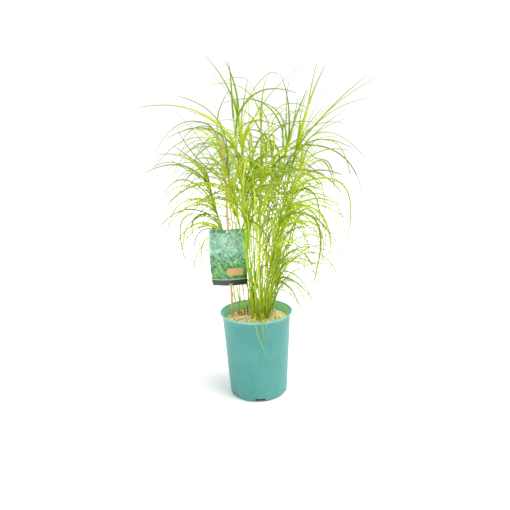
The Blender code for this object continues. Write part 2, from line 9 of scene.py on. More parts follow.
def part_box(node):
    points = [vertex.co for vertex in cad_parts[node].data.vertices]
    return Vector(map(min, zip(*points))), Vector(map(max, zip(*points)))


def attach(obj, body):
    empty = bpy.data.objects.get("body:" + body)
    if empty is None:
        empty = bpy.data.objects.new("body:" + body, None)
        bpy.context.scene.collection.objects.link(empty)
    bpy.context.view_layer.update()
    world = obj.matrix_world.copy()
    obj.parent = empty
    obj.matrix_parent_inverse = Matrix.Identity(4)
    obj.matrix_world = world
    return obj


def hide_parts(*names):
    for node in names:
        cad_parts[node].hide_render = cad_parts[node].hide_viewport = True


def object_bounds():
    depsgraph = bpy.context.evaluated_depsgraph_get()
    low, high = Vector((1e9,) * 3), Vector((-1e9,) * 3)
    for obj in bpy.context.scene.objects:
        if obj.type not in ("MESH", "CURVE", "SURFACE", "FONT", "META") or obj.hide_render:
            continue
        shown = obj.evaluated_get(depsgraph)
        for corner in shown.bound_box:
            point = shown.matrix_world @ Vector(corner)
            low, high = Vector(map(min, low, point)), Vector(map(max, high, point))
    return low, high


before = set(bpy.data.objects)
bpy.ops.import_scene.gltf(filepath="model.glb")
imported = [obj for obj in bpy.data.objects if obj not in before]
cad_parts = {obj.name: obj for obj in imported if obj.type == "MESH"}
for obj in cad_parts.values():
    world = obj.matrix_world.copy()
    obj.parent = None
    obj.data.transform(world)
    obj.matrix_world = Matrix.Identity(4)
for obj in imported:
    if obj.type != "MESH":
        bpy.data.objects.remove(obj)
solidLow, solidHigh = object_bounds()
print("frame loaded:", len(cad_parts), "nodes")


# Colour from the usual 0 to 255 values, turned linear for the shaders.
def paint(red, green, blue):
    parts = []
    for part in (red, green, blue):
        share = part / 255
        parts.append(share / 12.92 if share <= 0.04045 else ((share + 0.055) / 1.055) ** 2.4)
    return (*parts, 1.0)


# Adds a shader node with its settings. Each input takes a plain value or the output of another node.
def addNode(tree, kind, values=None, **settings):
    made = tree.nodes.new(kind)
    for key, value in settings.items():
        setattr(made, key, value)
    for key, value in (values or {}).items():
        if isinstance(value, bpy.types.NodeSocket):
            tree.links.new(value, made.inputs[key])
        else:
            made.inputs[key].default_value = value
    return made


def addRamp(tree, factor, stops):
    ramp = addNode(tree, "ShaderNodeValToRGB", {"Fac": factor})
    elements = ramp.color_ramp.elements
    while len(elements) < len(stops):
        elements.new(0.5)
    for element, (position, colour) in zip(elements, stops):
        element.position = position
        element.color = colour
    return ramp.outputs["Color"]


# Grey steps for a ramp that makes a mask.
def grey(value):
    return (value, value, value, 1.0)


def addMaths(tree, operation, first, second=0.0, clamp=False):
    values = {0: first, 1: second}
    return addNode(tree, "ShaderNodeMath", values, operation=operation, use_clamp=clamp).outputs["Value"]


def multiply(tree, first, second):
    return addMaths(tree, "MULTIPLY", first, second)


# The value carried from one range to another, and held at both ends.
def mapRange(tree, value, given, wanted):
    values = {"Value": value, "From Min": given[0], "From Max": given[1],
              "To Min": wanted[0], "To Max": wanted[1]}
    return addNode(tree, "ShaderNodeMapRange", values).outputs["Result"]


# The piece's own "Object" or "UV" coordinates.
def readPlace(tree, kind):
    return addNode(tree, "ShaderNodeTexCoord").outputs[kind]


def splitPlace(tree, kind):
    return addNode(tree, "ShaderNodeSeparateXYZ", {"Vector": readPlace(tree, kind)}).outputs


def mixColours(tree, factor, first, second, blend="MIX"):
    values = {0: factor, 6: first, 7: second}
    return addNode(tree, "ShaderNodeMix", values, data_type="RGBA", blend_type=blend).outputs[2]


def addNoise(tree, place, scale, detail, roughness=0.5):
    values = {"Vector": place, "Scale": scale, "Detail": detail, "Roughness": roughness}
    return addNode(tree, "ShaderNodeTexNoise", values).outputs["Fac"]


# The value pushed away from a half by the contrast, and held between 0 and 1.
def sharpen(tree, value, contrast):
    away = multiply(tree, addMaths(tree, "SUBTRACT", value, 0.5), contrast)
    return addMaths(tree, "ADD", away, 0.5, clamp=True)


# Two values, each times its weight, added.
def weigh(tree, first, firstWeight, second, secondWeight):
    return addMaths(tree, "ADD", multiply(tree, first, firstWeight), multiply(tree, second, secondWeight))


# A shader group with plain numbers as its inputs and one mask as its output.
def newGroup(name, **inputs):
    tree = bpy.data.node_groups.new(name, "ShaderNodeTree")
    for label, value in inputs.items():
        socket = tree.interface.new_socket(label, in_out="INPUT", socket_type="NodeSocketFloat")
        socket.default_value = value
    tree.interface.new_socket("Mask", in_out="OUTPUT", socket_type="NodeSocketFloat")
    return tree, tree.nodes.new("NodeGroupInput").outputs


def newMaterial(name, roughness, **plain):
    material = bpy.data.materials.new(name)
    material.use_nodes = True
    tree = material.node_tree
    shader = tree.nodes["Principled BSDF"]
    shader.inputs["Roughness"].default_value = roughness
    for label, value in plain.items():
        shader.inputs[label.replace("_", " ")].default_value = value
    return material, tree, shader


# Soft mottle: two sizes of noise added together, spread out by Contrast round a half.
def makeMottle():
    tree, given = newGroup("mottle", Size=40.0, Grain=6.0, Contrast=1.5)
    place = readPlace(tree, "Object")
    large = addNoise(tree, place, given["Size"], 3.0, 0.6)
    small = addNoise(tree, place, multiply(tree, given["Size"], given["Grain"]), 2.0)
    both = weigh(tree, small, 0.35, large, 0.65)
    addNode(tree, "NodeGroupOutput", {"Mask": sharpen(tree, both, given["Contrast"])})
    return tree


# Fibres that run the length of a piece: fine lines across it by its UV, broken up along it.
def makeFibres():
    tree, given = newGroup("fibres", Lines=20.0, Breaks=4.0, Sharpness=1.6)
    place = splitPlace(tree, "UV")
    across, along = multiply(tree, place["X"], given["Lines"]), multiply(tree, place["Y"], given["Breaks"])
    where = addNode(tree, "ShaderNodeCombineXYZ", {"X": across, "Y": along}).outputs["Vector"]
    noise = addNoise(tree, where, 1.0, 3.0, 0.55)
    addNode(tree, "NodeGroupOutput", {"Mask": sharpen(tree, noise, given["Sharpness"])})
    return tree


mottle = makeMottle()
fibres = makeFibres()


def mottled(tree, size, grain, contrast):
    values = {"Size": size, "Grain": grain, "Contrast": contrast}
    return addNode(tree, "ShaderNodeGroup", values, node_tree=mottle).outputs["Mask"]


def fibrous(tree, lines, breaks, sharpness):
    values = {"Lines": lines, "Breaks": breaks, "Sharpness": sharpness}
    return addNode(tree, "ShaderNodeGroup", values, node_tree=fibres).outputs["Mask"]


# The tint that addPiece gives each shape or point.
def readTint(tree):
    return addNode(tree, "ShaderNodeAttribute", attribute_name="tint").outputs["Fac"]


# Gives the shader its colour, and its relief where a height is given.
def addFinish(tree, shader, colour, height=None, strength=0.0, distance=0.0):
    tree.links.new(colour, shader.inputs["Base Color"])
    if height:
        values = {"Height": height, "Strength": strength, "Distance": distance}
        tree.links.new(addNode(tree, "ShaderNodeBump", values).outputs["Normal"], shader.inputs["Normal"])


# Faces between neighbouring rows and columns of points. A wrapped grid joins its last column to its first.
def gridFaces(rows, columns, wrap=False):
    count = columns if wrap else columns - 1
    row, column = np.meshgrid(np.arange(rows - 1), np.arange(count), indexing="ij")
    here = row * columns + column
    beside = row * columns + (column + 1) % columns
    return np.stack((here, beside, beside + columns, here + columns), -1).reshape(-1, 4)


# Triangles from a ring of points to one point; flip is for the end that faces back down the path.
def fanFaces(ring, point, flip=False):
    ring = np.asarray(ring)
    after = np.roll(ring, -1)
    first, second = (after, ring) if flip else (ring, after)
    return np.stack((first, second, np.full(len(ring), point)), -1)


# Faces of rings of points, closed round and capped by a fan at each end. The middle points of the two caps
# come after the rings' own points.
def closedFaces(rings, sides):
    count = rings * sides
    faces = gridFaces(rings, sides, wrap=True).tolist()
    faces += fanFaces(np.arange(sides), count, flip=True).tolist()
    return faces + fanFaces(np.arange(count - sides, count), count + 1).tolist()


# Unit vectors along the last axis.
def unit(vectors):
    return vectors / np.linalg.norm(vectors, axis=-1, keepdims=True)


# Closed tube: each ring is radius times (cos a, sin a) across the path, with a middle point at each end.
def tubeShape(path, radii, sides):
    path = np.asarray(path, float)
    along = unit(np.gradient(path, axis=0))
    east = np.array((1.0, 0.0, 0.0))
    side = unit(east - along * (along @ east)[:, None])
    other = np.cross(along, side)
    angle = np.arange(sides) * 2 * math.pi / sides
    radii = np.broadcast_to(np.asarray(radii, float).reshape(len(path), -1), (len(path), sides))
    ring = np.cos(angle)[None, :, None] * side[:, None] + np.sin(angle)[None, :, None] * other[:, None]
    points = np.vstack(((path[:, None] + radii[..., None] * ring).reshape(-1, 3), path[0], path[-1]))
    run = np.r_[0.0, np.cumsum(np.linalg.norm(np.diff(path, axis=0), axis=1))]
    uv = np.stack(np.meshgrid(np.abs(np.linspace(-1, 1, sides)), run, indexing="xy"), -1).reshape(-1, 2)
    uv = np.vstack((uv, (0.5, 0.0), (0.5, run[-1])))
    return points, closedFaces(len(path), sides), uv


# One object from shapes given as (points, faces, uv, tint, material number).
def addPiece(name, shapes, materials, smoothAngle):
    points, faces, uv, tint, which = [], [], [], [], []
    start = 0
    for shapePoints, shapeFaces, shapeUv, shapeTint, number in shapes:
        points.append(shapePoints)
        faces += [[start + corner for corner in face] for face in shapeFaces]
        uv.append(np.zeros((len(shapePoints), 2)) if shapeUv is None else shapeUv)
        tint.append(np.broadcast_to(np.asarray(shapeTint, float), len(shapePoints)))
        which += [number] * len(shapeFaces)
        start += len(shapePoints)
    mesh = bpy.data.meshes.new(name)
    mesh.from_pydata(np.vstack(points).tolist(), [], faces)
    for material in materials:
        mesh.materials.append(material)
    mesh.polygons.foreach_set("material_index", which)
    corners = np.zeros(len(mesh.loops), int)
    mesh.loops.foreach_get("vertex_index", corners)
    mesh.uv_layers.new(name="run").data.foreach_set("uv", np.vstack(uv)[corners].astype(np.float32).ravel())
    shades = mesh.attributes.new("tint", "FLOAT", "POINT").data
    shades.foreach_set("value", np.concatenate(tint).astype(np.float32))
    mesh.shade_smooth()
    mesh.set_sharp_from_angle(angle=math.radians(smoothAngle))
    piece = bpy.data.objects.new(name, mesh)
    bpy.context.scene.collection.objects.link(piece)
    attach(piece, "root")
    return piece


# Evenly scattered values from a range.
def scatter(random, span, count):
    return span[0] + (span[1] - span[0]) * random.random(count)


# The mesh as its modifiers leave it, put back as the piece's own.
def applyModifiers(piece):
    graph = bpy.context.evaluated_depsgraph_get()
    mesh = bpy.data.meshes.new_from_object(piece.evaluated_get(graph))
    piece.modifiers.clear()
    piece.data = mesh


# Pot
pot = {
    "rimDepth": 0.0085,
    "bead": 0.0020,
    "neckRadius": 0.0848,
    "footRadius": 0.0725,
    "wall": 0.002,
    "floor": 0.0028,
    "footRound": 0.005,
    "turns": 200,
    "smoothAngle": 35,  # degrees
    "notches": 6,
    "notchWidth": 0.027,
    "notchHeight": 0.009,
    "notchTurn": 1.5,  # degrees
    "colour": paint(64, 142, 135),
    "deepColour": paint(57, 135, 129),
    "paleColour": paint(73, 151, 143),
    # painted light: the paler teal of the lit inside wall and the rim's bead
    "paintedLightColour": paint(150, 232, 208),
    "dustColour": paint(150, 165, 150),
    "roughness": 0.40,
}
potLow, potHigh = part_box("pot")
pot["height"] = potHigh.z
pot["rimRadius"] = potHigh.x


# Points on an arc of a circle in the (radius, height) plane, by angle in degrees from straight out.
def arcPoints(radius, height, size, start, end, count):
    angle = np.radians(np.linspace(start, end, count))
    return np.stack((radius + size * np.cos(angle), height + size * np.sin(angle)), -1)


def innerRadius(height):
    neck = pot["height"] - pot["rimDepth"]
    share = (height - pot["footRound"]) / (neck - pot["footRound"])
    return pot["footRadius"] + (pot["neckRadius"] - pot["footRadius"]) * share - pot["wall"]


# Surface of revolution: each point of the profile carried round the upright axis.
def turnedShape(profile, turns):
    angle = np.arange(turns) * 2 * math.pi / turns
    radius, height = np.asarray(profile).T
    points = np.stack((radius[:, None] * np.cos(angle), radius[:, None] * np.sin(angle),
                       np.broadcast_to(height[:, None], (len(radius), turns))), -1).reshape(-1, 3)
    points = np.vstack((points, (0, 0, height[0]), (0, 0, height[-1])))
    return points, closedFaces(len(radius), turns)


def makePotMaterial():
    material, tree, shader = newMaterial("tealPlastic", pot["roughness"])
    broad = mottled(tree, 16.0, 5.0, 1.6)
    fine = mottled(tree, 900.0, 2.0, 1.5)
    body = addRamp(tree, broad, [(0.2, pot["deepColour"]), (0.5, pot["colour"]), (0.85, pot["paleColour"])])
    # Dust gathers at the foot
    height = splitPlace(tree, "Object")["Z"]
    dust = multiply(tree, mapRange(tree, height, (0.0, 0.03), (0.2, 0.0)), broad)
    colour = mixColours(tree, dust, body, pot["dustColour"])
    # Painted light: the rim's bead is lightened half way and the inside of the wall fully towards a paler
    # teal, by the tint
    colour = mixColours(tree, readTint(tree), colour, pot["paintedLightColour"])
    smooth, dull = pot["roughness"] - 0.08, pot["roughness"] + 0.14
    tree.links.new(mapRange(tree, broad, (0.0, 1.0), (smooth, dull)), shader.inputs["Roughness"])
    addFinish(tree, shader, colour, fine, 0.25, 0.0002)
    return material


def makePot():
    neck = pot["height"] - pot["rimDepth"]
    rim, top, foot, bead = pot["rimRadius"], pot["height"], pot["footRound"], pot["bead"]
    outside = [(0.02, 0.0), (0.045, 0.0), (pot["footRadius"] - foot - 0.0015, 0.0)]
    outside += arcPoints(pot["footRadius"] - foot - 0.0004, foot, foot, -86, -8, 9).tolist()
    wall = np.linspace(foot + 0.003, neck - 0.002, 26)
    outside += [(innerRadius(height) + pot["wall"], height) for height in wall]
    # The collar flares out softly and carries a round bead
    lip = [(pot["neckRadius"] + 0.0006, neck - 0.0008), (pot["neckRadius"] + 0.0018, neck + 0.0008),
           (pot["neckRadius"] + 0.0026, neck + 0.0028), (rim - 0.0026, top - 0.0046)]
    flare = len(outside + lip)
    lip += arcPoints(rim - bead, top - bead, bead, -75, 178, 18).tolist()
    inside = [(innerRadius(neck) + 0.0012, top - 0.0050), (innerRadius(neck), neck - 0.001)]
    inside += [(innerRadius(height), height) for height in np.linspace(neck - 0.004, foot + 0.001, 14)]
    inside += [(innerRadius(foot) - 0.003, pot["floor"]), (0.02, pot["floor"])]
    points, faces = turnedShape(outside + lip + inside, pot["turns"])
    # Painted light: the tint is a half over the bead and the rest of the rim, and full inside the pot
    paintedLightShare = np.zeros(len(points))
    paintedLightShare[flare * pot["turns"]:] = 0.5
    paintedLightShare[len(outside + lip) * pot["turns"]:] = 1.0
    shape = (points, faces, None, paintedLightShare, 0)
    piece = addPiece("nursery_pot", [shape], [makePotMaterial()], pot["smoothAngle"])

    # Each notch is cut by a low block, set in the wall at the foot
    block = bpy.data.meshes.new("notchBlock")
    half = np.array((pot["notchWidth"] / 2, 0.010, pot["notchHeight"]))
    corners = np.array([(x, y, z) for x in (-1, 1) for y in (-1, 1) for z in (-1, 1)]) * half
    corners[:, 0] *= np.where(corners[:, 2] > 0, 0.94, 1.0)
    sides = [(0, 1, 3, 2), (4, 6, 7, 5), (0, 4, 5, 1), (2, 3, 7, 6), (0, 2, 6, 4), (1, 5, 7, 3)]
    allCorners, allSides = [], []
    for number in range(pot["notches"]):
        turn = math.radians(pot["notchTurn"] + number * 360 / pot["notches"])
        place = Matrix.Rotation(turn, 4, "Z") @ Matrix.Translation((0, -pot["footRadius"], 0))
        allCorners += [place @ Vector(corner) for corner in corners]
        allSides += [[8 * number + corner for corner in side] for side in sides]
    block.from_pydata(allCorners, [], allSides)
    cutter = bpy.data.objects.new("notchBlock", block)
    bpy.context.scene.collection.objects.link(cutter)
    cut = piece.modifiers.new("notches", "BOOLEAN")
    cut.operation = "DIFFERENCE"
    cut.solver = "EXACT"
    cut.object = cutter
    applyModifiers(piece)
    bpy.data.objects.remove(cutter)
    piece.data.set_sharp_from_angle(angle=math.radians(pot["smoothAngle"]))
    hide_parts("pot")
    print("pot made:", len(piece.data.polygons), "faces")


makePot()

# Potting mix
mix = {
    "level": 0.189,
    "mound": 0.006,
    "planted": 0.020,
    "gap": 0.0003,
    "rings": 70,
    "turns": 180,
    "roughness": 0.95,
    "palest": paint(252, 244, 222),
    "pale": paint(255, 246, 196),
    "tan": paint(250, 228, 150),
    "rust": paint(236, 184, 86),
    "dark": paint(64, 54, 42),
    "speck": paint(170, 144, 100),
    # painted shade, near black, for the mix below its surface
    "paintedShade": paint(34, 34, 28),
}


# Height of the mix: a low mound with soft bumps that fade out at the wall.
def mixHeight(x, y):
    share = np.minimum(1.0, np.hypot(x, y) / innerRadius(mix["level"]))
    fade = 1.0 - share ** 2
    bumps = 0.0012 * np.sin(130 * x + 1.0) * np.cos(110 * y) + 0.0008 * np.sin(210 * y + 2.0)
    return mix["level"] + mix["mound"] * fade + bumps * np.sqrt(fade)


def makeMixMaterial(name, usesTint):
    material, tree, shader = newMaterial(name, mix["roughness"])
    shades = ("dark", "rust", "tan", "pale", "palest")
    stops = [(place, mix[shade]) for place, shade in zip((0.0, 0.10, 0.22, 0.45, 1.0), shades)]
    if usesTint:
        factor = readTint(tree)
    else:
        cells = addNode(tree, "ShaderNodeTexVoronoi", {"Vector": readPlace(tree, "Object"), "Scale": 420.0})
        factor = addNode(tree, "ShaderNodeSeparateColor", {"Color": cells.outputs["Color"]}).outputs["Red"]
    colour = addRamp(tree, factor, stops)
    speck = mottled(tree, 500.0, 3.0, 2.2)
    colour = mixColours(tree, multiply(tree, speck, 0.15), colour, mix["speck"], "MULTIPLY")
    if not usesTint:
        # Painted shade: the mix turns near black below its surface, so the drain notches look into shadow
        height = splitPlace(tree, "Object")["Z"]
        colour = mixColours(tree, mapRange(tree, height, (0.16, 0.185), (1.0, 0.0)), colour, mix["paintedShade"])
    addFinish(tree, shader, colour, speck, 0.5, 0.0006)
    return material


def makeMound():
    edge = innerRadius(mix["level"]) - mix["gap"]
    foot = innerRadius(pot["footRound"]) - mix["gap"]
    profile = [(foot - 0.003, pot["floor"] + mix["gap"]), (foot, pot["footRound"] + 0.001)]
    profile += [(innerRadius(height) - mix["gap"], height) for height in (0.05, 0.10, 0.15, 0.175)]
    profile += [(edge * share, mix["level"]) for share in np.linspace(1.0, 0.01, mix["rings"])]
    points, faces = turnedShape(profile, mix["turns"])
    top = points[:, 2] > mix["level"] - 1e-6
    x, y = points[top, 0], points[top, 1]
    rough = 0.0007 * np.sin(900 * x + 3 * np.sin(500 * y)) * np.sin(820 * y + 2 * np.sin(610 * x))
    points[top, 2] = mixHeight(x, y) + rough * np.clip((edge - np.hypot(x, y)) / 0.004, 0, 1) - 0.0006
    piece = addPiece("mix_mound", [(points, faces, None, 0.5, 0)], [makeMixMaterial("mixWithPaintedShade", False)],
                     80)
    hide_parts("potting_mix")


grains = {
    "husk_grains": {"count": 3400, "size": 0.0021, "flat": 0.55, "tints": (0.2, 1.0), "seed": 3},
    "bark_crumbs": {"count": 900, "size": 0.0022, "flat": 0.5, "tints": (0.0, 0.16), "seed": 5},
}


# Each grain is a twenty-sided lump, squashed, turned and set into the mound at a scattered place.
def makeGrains(name):
    values = grains[name]
    random = np.random.default_rng(values["seed"])
    golden = (1 + 5 ** 0.5) / 2
    lump = unit(np.array([np.roll((0, a, b * golden), turn) for turn in (0, 2, 1)
                          for a in (-1, 1) for b in (-1, 1)], float))
    near = np.linalg.norm(lump[:, None] - lump, axis=-1) < 1.2
    spots = [(a, b, c) for a, b, c in itertools.permutations(range(12), 3)
             if a < b and a < c and near[a, b] and near[b, c] and near[c, a]
             and np.cross(lump[b] - lump[a], lump[c] - lump[a]) @ lump[a] > 0]
    count = values["count"]
    edge = innerRadius(mix["level"]) - 0.002
    reach = edge * np.sqrt(random.random(count))
    turn = random.random(count) * 2 * math.pi
    size = values["size"] * (0.45 + 1.0 * random.random((count, 1)) ** 1.6)
    stretch = size * np.stack((scatter(random, (0.7, 1.6), count), scatter(random, (0.6, 1.1), count),
                               values["flat"] * scatter(random, (0.7, 1.3), count)), -1)
    rough = 1 + 0.30 * (random.random((count, 12, 1)) - 0.5)
    shape = lump[None] * rough * stretch[:, None]
    tilt = (random.random(count) - 0.5) * 1.3
    spin = random.random(count) * 2 * math.pi
    x = shape[..., 0] * np.cos(tilt)[:, None] + shape[..., 2] * np.sin(tilt)[:, None]
    z = shape[..., 2] * np.cos(tilt)[:, None] - shape[..., 0] * np.sin(tilt)[:, None]
    y = shape[..., 1]
    middleX, middleY = reach * np.cos(turn), reach * np.sin(turn)
    height = mixHeight(middleX, middleY) + size[:, 0] * values["flat"] * (random.random(count) - 0.15)
    points = np.stack((middleX[:, None] + x * np.cos(spin)[:, None] - y * np.sin(spin)[:, None],
                       middleY[:, None] + x * np.sin(spin)[:, None] + y * np.cos(spin)[:, None],
                       height[:, None] + z), -1)
    faces = (np.array(spots)[None] + 12 * np.arange(count)[:, None, None]).reshape(-1, 3)
    tint = np.repeat(scatter(random, values["tints"], count), 12)
    addPiece(name, [(points.reshape(-1, 3), faces.tolist(), None, tint, 0)],
             [makeMixMaterial(name + "Finish", True)], 30)


makeMound()
for name in grains:
    makeGrains(name)
print("potting mix made")


# Sedge
sedge = {
    "solidLeafWidth": 0.0052,
    "leafWidth": 0.0060,
    "thickness": 0.0003,
    "clasp": 0.024,  # stretch of its stem that a leaf hugs
    "stations": 24,
    "hangingShare": 0.8,  # shares of the leaf width
    "droopingShare": 0.75,
    "hangingRoll": (0, 30),  # degrees
    "stemRadius": 0.0016,
    "stemTipRadius": 0.0008,
    "sheathSwell": 0.0004,
    "stemSides": 9,
    "stemRings": 90,
    "roughness": 0.42,
    "glow": 0.5,  # share of the light that comes through a leaf
    "deep": paint(116, 160, 6),
    "middle": paint(186, 214, 18),
    "bright": paint(236, 242, 66),
    "straw": paint(232, 216, 104),
    "faded": paint(158, 170, 96),
    "brown": paint(168, 140, 60),
    "sheath": paint(222, 206, 110),
    "clearAcross": (-0.112, -0.020),  # window in front of the tag, as the camera sees it
    "clearUp": (0.262, 0.424),
    "seed": 100,
}
# Each kind of extra leaf: narrow is its share of the leaf width, stations the points along it
cousins = {
    "perLeaf": 2,
    "size": (0.60, 1.02),
    "turn": (12, 72),  # degrees
    "shift": 0.06,
    "droop": 0.06,
    "openTop": 0.64,  # above it the middle of the plant, round openMiddle, has no cousins
    "openMiddle": 0.04,
    "openReach": 0.07,
    "narrow": 0.58,
    "stations": 18,
}
lowLeaves = {
    "count": 4,
    "place": (0.08, 0.58),
    "length": (0.17, 0.32),
    "loose": (0.0, 1.0),
    "turn": 2.3,
    "narrow": 0.5,
    "stations": 15,
}
looseLeaves = {
    "shoots": ("low_right", "right_low", "low_rear_right", "right_front", "right_side", "rear_right",
               "middle_right"),
    "count": 9,
    "place": (0.25, 0.90),
    "length": (0.20, 0.30),
    "loose": (0.9, 1.4),
    "turn": 0.85,
    "narrow": 0.42,
    "stations": 20,
}
# Leaves that hang over the pot's front, and long ones that droop at its right: start, two bends and tip in mm
hanging = [
    ((2, -14, 198), (-4, -78, 268), (-16, -122, 180), (42, -108, 110)),
    ((8, -16, 198), (12, -72, 262), (16, -118, 196), (22, -103, 158)),
    ((14, -12, 198), (14, -70, 258), (20, -112, 206), (34, -102, 176)),
    ((24, -8, 198), (40, -52, 262), (52, -96, 226), (54, -88, 190)),
    ((30, 2, 198), (58, -30, 274), (74, -74, 246), (72, -72, 196)),
]
drooping = [
    ((35, 0, 330), (80, -30, 400), (170, -50, 395), (222, -60, 330)),
    ((30, -4, 300), (70, -20, 372), (150, -50, 372), (196, -60, 270)),
    ((20, -5, 290), (50, -20, 345), (140, -50, 330), (142, -45, 180)),
    ((30, -8, 260), (70, -30, 330), (110, -50, 300), (128, -60, 205)),
    ((40, 0, 400), (100, -20, 520), (200, -40, 500), (236, -40, 360)),
    ((40, 0, 410), (90, 0, 540), (180, 10, 520), (250, 10, 420)),
    ((36, -6, 350), (70, -30, 430), (120, -60, 400), (176, -70, 250)),
    ((32, 4, 320), (80, 20, 400), (150, 30, 370), (170, 30, 215)),
    ((45, -5, 380), (90, -40, 500), (150, -80, 480), (200, -90, 370)),
]
tuft = {
    "count": 64,
    "middle": (0.010, 0.002),
    "reach": (0.019, 0.017),
    "length": (0.07, 0.26),
    "lean": 0.14,
    "turn": 1.6,  # radians
    "narrow": 0.6,
    "stations": 13,
    "paintedLightLowTint": 0.45,  # painted light: tints lifted towards the bright greens against the shade in the clump; the lowest tint, and the most that is added to it
    "paintedLightMoreTint": 0.5,
    "seed": 77,
}
ringShares = {5: (0.10, 0.30, 0.50, 0.70, 0.87), 4: (0.10, 0.34, 0.60, 0.83)}


# Reads a shoot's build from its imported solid. A leaf ends in a corner with three edges. From there the
# corners come three by three, each three the neighbours of the last, and the leaf widens as far as its first
# ring. The ring middles past the first lie on a curve (1-t)(1-t) start + 2t(1-t) bend + t t tip, which gives
# back start and bend.
def readShoot(node):
    mesh = node.data
    mesh.calc_loop_triangles()
    place = np.zeros(len(mesh.vertices) * 3, np.float32)
    mesh.vertices.foreach_get("co", place)
    place = place.reshape(-1, 3).astype(float)
    corners = np.zeros(len(mesh.loop_triangles) * 3, int)
    mesh.loop_triangles.foreach_get("vertices", corners)
    rounded = np.round(place * 1e5).astype(int)
    _, first, same = np.unique(rounded, axis=0, return_index=True, return_inverse=True)
    place = place[first]
    corners = same.reshape(-1)[corners].reshape(-1, 3)
    joined = np.zeros((len(place), len(place)), bool)
    for here, there in ((0, 1), (1, 2), (2, 0)):
        joined[corners[:, here], corners[:, there]] = True
        joined[corners[:, there], corners[:, here]] = True

    def nextRing(ring, before):
        found = joined[ring].any(0)
        found[ring] = False
        found[before] = False
        return np.where(found)[0]

    def spread(ring):
        return max(np.linalg.norm(place[a] - place[b]) for a in ring for b in ring)

    leaves = []
    for tip in np.where(joined.sum(1) == 3)[0]:
        ring, before, rings = nextRing([tip], [tip]), [tip], []
        while len(ring) == 3 and spread(ring) < sedge["solidLeafWidth"]:
            if rings and spread(ring) <= spread(rings[-1]):
                break
            rings.append(ring)
            ring, before = nextRing(ring, before), ring
        if len(rings) not in ringShares:
            continue
        middles = np.array([place[ring].mean(0) for ring in reversed(rings)])
        share = np.array(ringShares[len(rings)])[1:]
        known = middles[1:] - share[:, None] ** 2 * place[tip]
        shares = np.stack(((1 - share) ** 2, 2 * share * (1 - share)), -1)
        start, bend = np.linalg.lstsq(shares, known, rcond=None)[0]
        end = place[tip]
        leaves.append((start, start + (bend - start) * 2 / 3, end + (bend - end) * 2 / 3, end))
    leaves.sort(key=lambda leaf: leaf[0][2])

    # The stem: its three lowest rings stand inside the pot, and each leaf starts on its axis
    inPot = np.where(np.hypot(place[:, 0], place[:, 1]) < 0.06)[0]
    ring = inPot[np.argsort(place[inPot, 2])[:3]]
    before, axis = ring, []
    for _ in range(3):
        axis.append(place[ring].mean(0))
        ring, before = nextRing(ring, before), ring
    axis = np.array(axis + [leaf[0] for leaf in leaves])
    return axis, np.array(leaves)


# A stem's axis as two cubics, x and y by the height.
def fitStem(axis):
    degree = 3 if len(axis) > 4 else 2
    return [np.polyfit(axis[:, 2], axis[:, side], degree) for side in (0, 1)]


def onStem(fits, height):
    return np.stack([np.polyval(fit, height) for fit in fits] + [height], -1)


def stemHeading(fits, height):
    return unit(np.stack([np.polyval(np.polyder(fit), height) for fit in fits] + [np.ones_like(height)], -1))


# Points along the cubic (1-t)^3 start + 3t(1-t)^2 first + 3t^2(1-t) second + t^3 tip of each curve.
def cubicPoints(curves, t):
    start, first, second, tip = (curves[:, number, None] for number in range(4))
    return (1 - t) ** 3 * start + 3 * t * (1 - t) ** 2 * first + 3 * t ** 2 * (1 - t) * second + t ** 3 * tip


# The cubics with their low ends drawn down the stem by clasp * (1 - t/0.12)^2. The stations are closer
# together near the stem.
def curveLines(curves, headings, stations):
    t = (np.linspace(0, 1, stations) ** 1.2)[None, :, None]
    return cubicPoints(curves, t) - headings[:, None] * (sedge["clasp"] * np.clip(1 - t / 0.12, 0, 1) ** 2)


